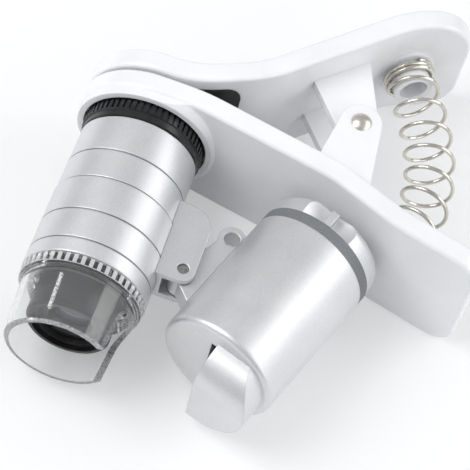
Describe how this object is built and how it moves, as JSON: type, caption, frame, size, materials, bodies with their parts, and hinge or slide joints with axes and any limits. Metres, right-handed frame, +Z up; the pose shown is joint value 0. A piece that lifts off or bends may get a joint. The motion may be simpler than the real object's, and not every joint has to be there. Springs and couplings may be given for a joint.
{
  "type": "clip-on phone microscope",
  "caption": "Spring clip that holds a small magnifying barrel over a phone camera, with a clear skirt and a hinged lamp that lights the sample.",
  "frame": {"origin": "on the lower long edge of the lens arm's jaw, straight under the optical axis, with the part lying on its side", "axes": "+X from the jaw to the handles, +Y towards the phone arm and away from the sample, +Z up along the clip's rivet"},
  "size_m": [0.0713, 0.0828, 0.024],
  "materials": {
    "white_gloss": "gloss",
    "pad_rubber": "matte",
    "nickel": "polished",
    "black_plastic": "satin",
    "silver_paint": "satin",
    "grey_plastic": "matte",
    "clear_plastic": "clear",
    "lens_glass": "polished",
    "led_white": "clear",
    "led_violet": "clear",
    "board_green": "satin",
    "white_plastic": "satin",
    "cell_steel": "satin",
    "contact_brass": "satin"
  },
  "bodies": {
    "lens_side": {"lens_arm": "white_gloss", "lens_pad": "pad_rubber", "clip_rivet": "nickel", "clip_spring": "nickel", "eye_tube": "black_plastic", "eye_lens": "lens_glass", "upper_sleeve": "silver_paint", "lower_sleeve": "silver_paint", "light_skirt": "clear_plastic", "hinge_bracket": "silver_paint", "lamp_pin": "nickel"},
    "phone_side": {"phone_arm": "white_gloss", "phone_pad": "pad_rubber"},
    "focus_ring": {"focus_ring": "black_plastic"},
    "focus_tube": {"lens_tube": "black_plastic", "objective_lens": "lens_glass", "lens_retainer": "black_plastic"},
    "lamp": {"lamp_bracket": "silver_paint", "lamp_housing": "silver_paint", "lamp_ring": "grey_plastic", "led_board": "board_green", "white_led": "led_white", "violet_led": "led_violet", "cell_holder": "white_plastic", "button_cell_1": "cell_steel", "button_cell_2": "cell_steel", "button_cell_3": "cell_steel"},
    "switch": {"switch_cap": "silver_paint", "cap_contact": "contact_brass"}
  },
  "joints": [
    {"name": "clip_hinge", "type": "hinge", "parent": "lens_side", "child": "phone_side", "pos_m": [0.033, 0.009, 0.012], "axis": [0, 0, -1], "range_deg": [0, 22], "stiffness_Nm_per_rad": 0.12, "springref_deg": -40.11, "deforming": ["clip_spring"]},
    {"name": "focus_turn", "type": "hinge", "parent": "lens_side", "child": "focus_ring", "pos_m": [0, 0, 0.012], "axis": [0, -1, 0], "range_deg": [-50, 50]},
    {"name": "focus_slide", "type": "slide", "parent": "lens_side", "child": "focus_tube", "axis": [0, -1, 0], "range_m": [-0.00069, 0.00069]},
    {"name": "lamp_hinge", "type": "hinge", "parent": "lens_side", "child": "lamp", "pos_m": [0.0139, -0.0264, 0.012], "axis": [0, 0, -1], "range_deg": [0, 18]},
    {"name": "switch_turn", "type": "hinge", "parent": "lamp", "child": "switch", "pos_m": [0.03235, -0.01583, 0.012], "axis": [-0.3256, -0.9455, 0], "range_deg": [-30, 30]}
  ],
  "couplings": [
    {"joint": "focus_turn", "follows": "focus_slide", "rad_per_m": -1256.6}
  ]
}
